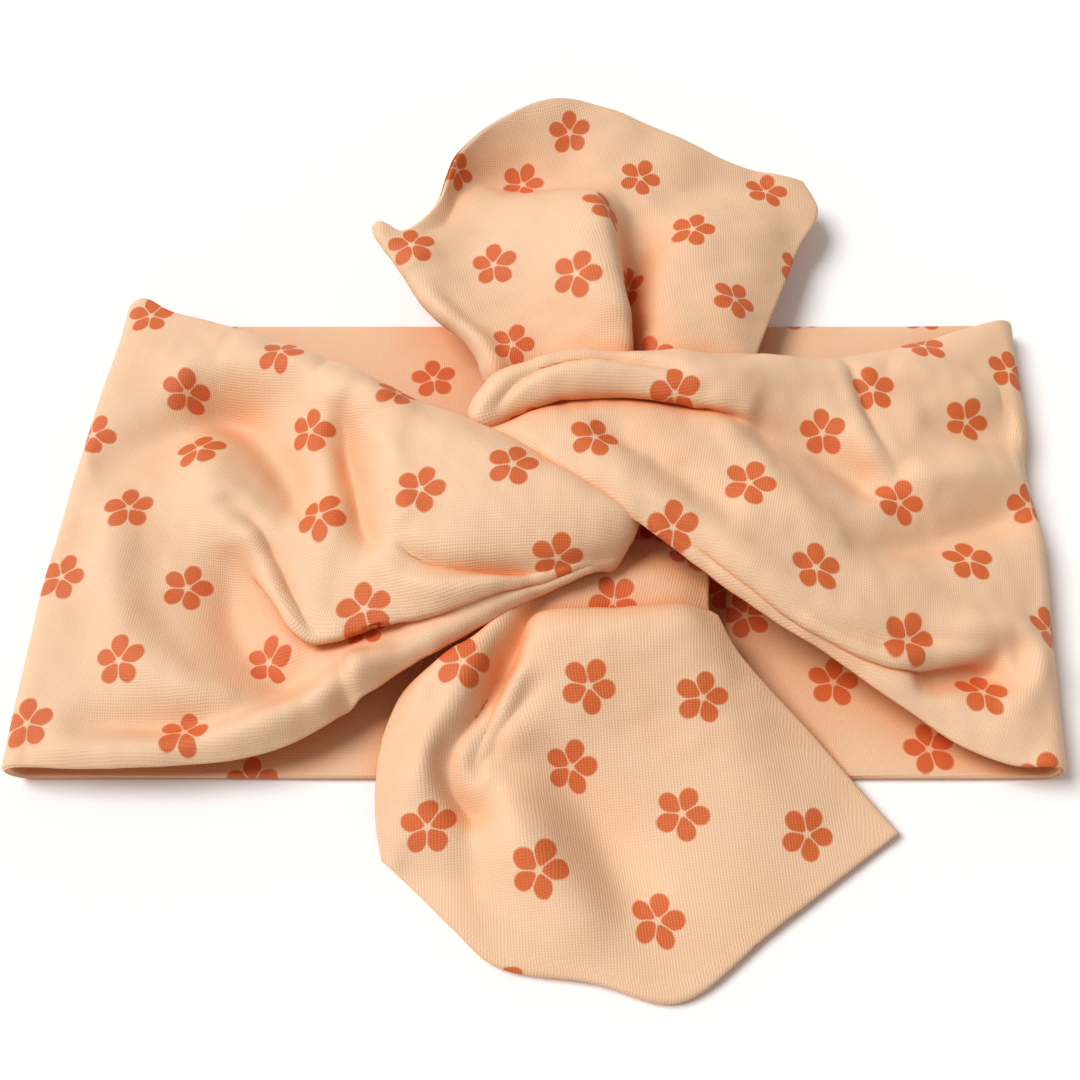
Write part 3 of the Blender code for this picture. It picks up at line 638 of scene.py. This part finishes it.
def signed_volume(mesh):
    points = np.zeros(len(mesh.vertices) * 3)
    mesh.vertices.foreach_get("co", points)
    points = points.reshape(-1, 3)
    mesh.calc_loop_triangles()
    triangles = np.zeros(len(mesh.loop_triangles) * 3, np.int64)
    mesh.loop_triangles.foreach_get("vertices", triangles)
    a, b, c = points[triangles.reshape(-1, 3)].transpose(1, 0, 2)
    return float(np.einsum("ij,ij->i", a, np.cross(b, c)).sum())


def rounded(distance):
    """Share of the full thickness at this distance from an edge."""
    return np.sqrt(np.clip(1 - (1 - np.clip(distance / EDGE_ROUND, 0, 1)) ** 2, 0, 1))


def half_thickness(grid, ends):
    """Half the sheet's thickness: rounded at both sides, and at the last row if `ends`."""
    across = travelled(grid, 1)
    share = np.minimum(rounded(across), rounded(across[:, -1:] - across))
    if ends:
        along = travelled(grid, 0)
        share = np.minimum(share, rounded(along[-1:] - along))
    return HALF_THICK * np.maximum(share, THINNEST)


# ---------------------------------------------------------------- materials
class Nodes:
    """Short names for the nodes that the knit's material is made of."""

    def __init__(self, tree):
        self.tree = tree

    def new(self, kind, **settings):
        node = self.tree.nodes.new(kind)
        for key, value in settings.items():
            setattr(node, key, value)
        return node

    def feed(self, socket, value):
        if isinstance(value, bpy.types.NodeSocket):
            self.tree.links.new(value, socket)
        else:
            socket.default_value = value

    def maths(self, operation, *values, clamp=False):
        node = self.new("ShaderNodeMath", operation=operation, use_clamp=clamp)
        for socket, value in zip(node.inputs, values):
            self.feed(socket, value)
        return node.outputs[0]

    def mix(self, share, first, second):
        node = self.new("ShaderNodeMix", data_type="RGBA")
        self.feed(node.inputs["Factor"], share)
        self.feed(node.inputs["A"], first)
        self.feed(node.inputs["B"], second)
        return node.outputs["Result"]

    def product(self, first, second):
        node = self.new("ShaderNodeMix", data_type="RGBA", blend_type="MULTIPLY")
        self.feed(node.inputs["Factor"], 1.0)
        self.feed(node.inputs["A"], first)
        self.feed(node.inputs["B"], second)
        return node.outputs["Result"]

    def steps(self, value, low, high):
        node = self.new("ShaderNodeMapRange", interpolation_type="SMOOTHSTEP")
        self.feed(node.inputs["Value"], value)
        self.feed(node.inputs["From Min"], low)
        self.feed(node.inputs["From Max"], high)
        return node.outputs["Result"]


def flowers(nodes, x, y):
    """How much of each point is printed, from its place about the nearest flower's middle."""
    m = nodes.maths
    radius = m("SQRT", m("ADD", m("MULTIPLY", x, x), m("MULTIPLY", y, y)))
    petal = 2 * math.pi / PETALS
    turned = m("ADD", m("ARCTAN2", x, y), 2 * PETALS * petal)
    own = m("SUBTRACT", m("MODULO", m("ADD", turned, petal / 2), petal), petal / 2)
    along = m("DIVIDE", m("SUBTRACT", m("MULTIPLY", radius, m("COSINE", own)), PETAL_MIDDLE), PETAL_LENGTH)
    width = m("MULTIPLY_ADD", along, PETAL_FLARE, PETAL_WIDTH)
    aside = m("DIVIDE", m("MULTIPLY", radius, m("SINE", own)), width)
    inside = m("SUBTRACT", 1.0, m("ADD", m("MULTIPLY", along, along), m("MULTIPLY", aside, aside)))
    gap = m("MULTIPLY", radius, m("SINE", m("SUBTRACT", petal / 2, m("ABSOLUTE", own))))
    return m("MULTIPLY", nodes.steps(inside, *PETAL_EDGE), nodes.steps(gap, *PETAL_GAP))


def knit_material(name):
    """The printed stretch knit: ground, flowers, fine stitches, a soft nap, and painted warm shade in its
    folds.
    """
    material = bpy.data.materials.new(name)
    material.use_nodes = True
    tree = material.node_tree
    nodes = Nodes(tree)
    m = nodes.maths
    shader = tree.nodes["Principled BSDF"]
    local = nodes.new("ShaderNodeSeparateXYZ")
    tree.links.new(nodes.new("ShaderNodeUVMap", uv_map="print").outputs[0], local.inputs[0])
    printed = flowers(nodes, local.outputs[0], local.outputs[1])

    place = nodes.new("ShaderNodeUVMap", uv_map="cloth")
    split = nodes.new("ShaderNodeSeparateXYZ")
    tree.links.new(place.outputs[0], split.inputs[0])
    u, v = split.outputs[0], split.outputs[1]
    wale = m("SINE", m("MULTIPLY", v, 2 * math.pi / WALE_STEP))
    row = m("MULTIPLY", u, 2 * math.pi / COURSE_STEP)
    course = m("SINE", m("ADD", row, m("MULTIPLY", wale, COURSE_ARC)))
    stitch = m("ADD", m("MULTIPLY", wale, 0.5), m("MULTIPLY", course, 0.5))

    blotch = nodes.new("ShaderNodeTexNoise")
    tree.links.new(place.outputs[0], blotch.inputs["Vector"])
    blotch.inputs["Scale"].default_value = BLOTCH_SCALE
    blotch.inputs["Detail"].default_value = 3.0
    nap = nodes.new("ShaderNodeTexNoise")
    tree.links.new(place.outputs[0], nap.inputs["Vector"])
    nap.inputs["Scale"].default_value = NAP_SCALE
    nap.inputs["Detail"].default_value = 2.0

    warm = nodes.steps(blotch.outputs["Fac"], *BLOTCH_STEPS)
    ground = nodes.mix(m("MULTIPLY", warm, BLOTCH_SHARE), (*GROUND, 1), (*GROUND_WARM, 1))
    paint = nodes.mix(nap.outputs["Fac"], (*FLOWER, 1), (*FLOWER_LIGHT, 1))
    thin = m("MULTIPLY_ADD", stitch, *STITCH_COVER)
    colour = nodes.mix(m("MULTIPLY", printed, thin), ground, paint)
    shade = m("MULTIPLY_ADD", stitch, *STITCH_SHADE)
    grain = m("MULTIPLY_ADD", nap.outputs["Fac"], *NAP_SHADE)
    # Painted shade: where the ambient occlusion finds cloth close by, the colour turns warmer and darker.
    fold = nodes.new("ShaderNodeAmbientOcclusion", samples=8)
    fold.inputs["Distance"].default_value = FOLD_REACH
    painted_fold_shade = nodes.mix(nodes.steps(fold.outputs["AO"], *FOLD_STEPS), (*PAINTED_FOLD_SHADE, 1), (1, 1, 1, 1))
    colour_with_fold_shade = nodes.product(colour, painted_fold_shade)
    tint = nodes.new("ShaderNodeCombineColor")
    for socket in tint.inputs:
        nodes.feed(socket, m("MULTIPLY", shade, grain))
    tree.links.new(nodes.product(colour_with_fold_shade, tint.outputs[0]), shader.inputs["Base Color"])

    bump = nodes.new("ShaderNodeBump")
    bump.inputs["Strength"].default_value = 0.55
    bump.inputs["Distance"].default_value = BUMP_DEPTH
    height = m("ADD", stitch, m("MULTIPLY", nap.outputs["Fac"], NAP_BUMP))
    tree.links.new(height, bump.inputs["Height"])
    tree.links.new(bump.outputs["Normal"], shader.inputs["Normal"])
    roughness = m("MULTIPLY_ADD", nap.outputs["Fac"], *NAP_ROUGHNESS)
    tree.links.new(roughness, shader.inputs["Roughness"])
    shader.inputs["Specular IOR Level"].default_value = 0.4
    shader.inputs["Sheen Weight"].default_value = 0.05
    shader.inputs["Sheen Roughness"].default_value = 0.45
    shader.inputs["Sheen Tint"].default_value = (1.0, 0.86, 0.74, 1)
    return material


# ---------------------------------------------------------------- the pieces
def strap_half(side, rows, start_s, wave, front_far):
    """The whole half strap's grid, from the back band to the tip of its wrap, and its first front row."""
    loop = loop_rows(side, start_s, wave, front_far)
    grid = loft(loop + [list(row) for row in rows], *STRAP_STEPS)
    return with_edge_points(relaxed(grid, STRAP_PASSES)), (len(loop) - 3) * STRAP_STEPS[0]


def with_ripples(grid, normals, seed, fade_low):
    """Small soft ripples, which die away towards the table so that the cloth lies on it."""
    lift = np.clip((grid[..., 2] - fade_low) / RIPPLE_FADE, 0, 1)
    plan = grid[..., :2]
    ripple = sum(height * smooth_noise(plan, wave, seed + i) for i, (height, wave) in enumerate(RIPPLES))
    return grid + normals * (ripple * lift)[..., None]


def facing_up(grid, row):
    """The grid's normals, turned so that they point up in the middle of this row."""
    normals = normals_of(grid)
    return normals if normals[row, grid.shape[1] // 2, 2] > 0 else -normals


def dress(nodes):
    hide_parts(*nodes)


def stretch_nodes(*stretches):
    """The CAD nodes of these stretches of the strap."""
    return [node for node in frame["nodes"] if node.startswith(tuple(s + "_" for s in stretches))]


def row_near(grid, s, front):
    """The row of the grid whose middle is nearest to s, on the front or the back of the loop."""
    middle = grid[:, grid.shape[1] // 2]
    along = middle[:, 0] - LEAN * middle[:, 1]
    wrong_side = (middle[:, 2] > FOLD_Z) != front
    return int(np.argmin(np.abs(along - s) + ELSEWHERE * wrong_side))


def build_left(knit):
    grid, front_start = strap_half(-1, LEFT_ROWS, HINGE_S, LEFT_WAVE, LEFT_FAR)
    grid = pressed(grid, LEFT_CREASES, LEFT_LAPS, front_start)
    normals = facing_up(grid, FRONT_ROW)
    grid = with_ripples(grid, normals, LEFT_SEED, BACK_Z + BAND_CLEAR)
    normals = facing_up(grid, FRONT_ROW)
    layers = layers_of(grid, normals, half_thickness(grid, ends=False))
    shading = smooth_normals(layers)
    flat = turned_along(flattened(grid))
    middles = flower_middles(flat, grid, LEFT_FLOWERS)
    back = row_near(grid, -FOLD_END, False)
    front = row_near(grid, -FOLD_END - FRONT_MARGIN, True)
    band = cloth_mesh("back_band_cloth", layers, shading, flat, middles, slice(0, back + 1), knit)
    fold = cloth_mesh("left_fold_cloth", layers, shading, flat, middles, slice(back, front + 1), knit)
    strap = cloth_mesh("left_front_cloth", layers, shading, flat, middles, slice(front, None), knit)
    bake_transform(band)
    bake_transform(fold)
    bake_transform(strap)
    dress(stretch_nodes("back_centre"))
    dress(stretch_nodes("back_left"))
    dress(stretch_nodes("front_left", "left_wrap", "left_tuck"))
    return band, fold, strap


def build_right(knit):
    grid, front_start = strap_half(1, RIGHT_ROWS, HINGE_S - OVERLAP, RIGHT_WAVE, RIGHT_FAR)
    grid = pressed(grid, RIGHT_CREASES, RIGHT_LAPS, front_start)
    normals = facing_up(grid, FRONT_ROW)
    grid = with_ripples(grid, normals, RIGHT_SEED, BACK_Z + BAND_CLEAR)
    normals = facing_up(grid, FRONT_ROW)
    half = half_thickness(grid, ends=False)
    half[: row_near(grid, HINGE_S, False) + 1] *= OVERLAP_THICKNESS
    layers = layers_of(grid, normals, half)
    shading = smooth_normals(layers)
    flat = turned_along(flattened(grid))
    middles = flower_middles(flat, grid, RIGHT_FLOWERS)
    front = row_near(grid, FOLD_END + FRONT_MARGIN, True)
    fold = cloth_mesh("right_fold_cloth", layers, shading, flat, middles, slice(0, front + 1), knit)
    strap = cloth_mesh("right_front_cloth", layers, shading, flat, middles, slice(front, None), knit)
    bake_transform(fold)
    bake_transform(strap)
    dress(stretch_nodes("back_right"))
    dress(stretch_nodes("front_right", "right_wrap", "right_tuck"))
    return fold, strap


def build_tail(name, rows, creases, laps, flowers_at, knit, body, seed):
    grid = with_edge_points(relaxed(loft(rows, *TAIL_STEPS), TAIL_PASSES))
    grid = with_edge_points(grid.transpose(1, 0, 2)).transpose(1, 0, 2)
    grid = pressed(grid, creases, laps, 0)
    normals = facing_up(grid, TAIL_ROW)
    grid = with_ripples(grid, normals, seed, TAIL_CLEAR)
    normals = facing_up(grid, TAIL_ROW)
    layers = layers_of(grid, normals, half_thickness(grid, ends=True))
    flat = turned_along(flattened(grid))
    middles = flower_middles(flat, grid, flowers_at)
    tail = cloth_mesh(name, layers, smooth_normals(layers), flat, middles, slice(None), knit)
    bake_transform(tail)
    dress(stretch_nodes(body))
    return tail


# ---------------------------------------------------------------- stage
FLOOR_REACH = 6.0  # from the middle to each side, in metres


def build_stage():
    material = bpy.data.materials.new("pale_floor")
    material.use_nodes = True
    shader = material.node_tree.nodes["Principled BSDF"]
    shader.inputs["Base Color"].default_value = (1.0, 1.0, 1.0, 1)
    shader.inputs["Roughness"].default_value = 0.9
    shader.inputs["Specular IOR Level"].default_value = 0.1
    mesh = bpy.data.meshes.new("floor")
    corners = [(x * FLOOR_REACH, y * FLOOR_REACH, 0) for x, y in ((-1, -1), (1, -1), (1, 1), (-1, 1))]
    mesh.from_pydata(corners, [], [(0, 1, 2, 3)])
    mesh.materials.append(material)
    floor = bpy.data.objects.new("floor", mesh)
    bpy.context.scene.collection.objects.link(floor)


# A broad, soft light from the far left, and even light from all round.
KEY_FROM = (-0.58, 0.14, 0.80)
KEY_STRENGTH = 2.75
KEY_SOFTNESS = math.radians(30)
WORLD_STRENGTH = 0.35
WORLD_COLOUR = (1.0, 0.93, 0.86)


def build_light():
    world = bpy.data.worlds.new("studio")
    bpy.context.scene.world = world
    world.use_nodes = True
    background = world.node_tree.nodes["Background"]
    background.inputs["Color"].default_value = (*WORLD_COLOUR, 1)
    background.inputs["Strength"].default_value = WORLD_STRENGTH
    lamp = bpy.data.lights.new("key", "SUN")
    lamp.energy = KEY_STRENGTH
    lamp.angle = KEY_SOFTNESS
    key = bpy.data.objects.new("key", lamp)
    bpy.context.scene.collection.objects.link(key)
    key.rotation_euler = Vector(KEY_FROM).to_track_quat("Z", "Y").to_euler()


# The camera looks down at the middle of the loop from the near side.
CAMERA_DISTANCE = 317.0
CAMERA_ELEVATION = math.radians(62.0)
CAMERA_AIM = (-2.0, 1.0, 0.0)
CAMERA_LENS = 42.57
CAMERA_SHIFT = (-0.0074, -0.0083)


def build_camera():
    data = bpy.data.cameras.new("camera")
    data.lens = CAMERA_LENS
    data.shift_x, data.shift_y = CAMERA_SHIFT
    data.clip_start = 0.01
    camera = bpy.data.objects.new("camera", data)
    bpy.context.scene.collection.objects.link(camera)
    back = Vector((0, -math.cos(CAMERA_ELEVATION), math.sin(CAMERA_ELEVATION)))
    camera.location = (Vector(CAMERA_AIM) + back * CAMERA_DISTANCE) * MM
    camera.rotation_euler = (-back).to_track_quat("-Z", "Y").to_euler()
    bpy.context.scene.camera = camera
    bpy.context.scene.view_settings.view_transform = "Standard"


build_camera()
build_stage()
build_light()
KNIT = knit_material("printed_knit")
band, left_fold, left_strap = build_left(KNIT)
right_fold, right_strap = build_right(KNIT)
bottom_tail = build_tail("bottom_tail_cloth", BOTTOM_TAIL_ROWS, BOTTOM_CREASES, (), BOTTOM_FLOWERS, KNIT,
                         "bottom_tail", BOTTOM_SEED)
top_tail = build_tail("top_tail_cloth", TOP_TAIL_ROWS, TOP_CREASES, TOP_LAPS, TOP_FLOWERS, KNIT,
                      "top_tail", TOP_SEED)
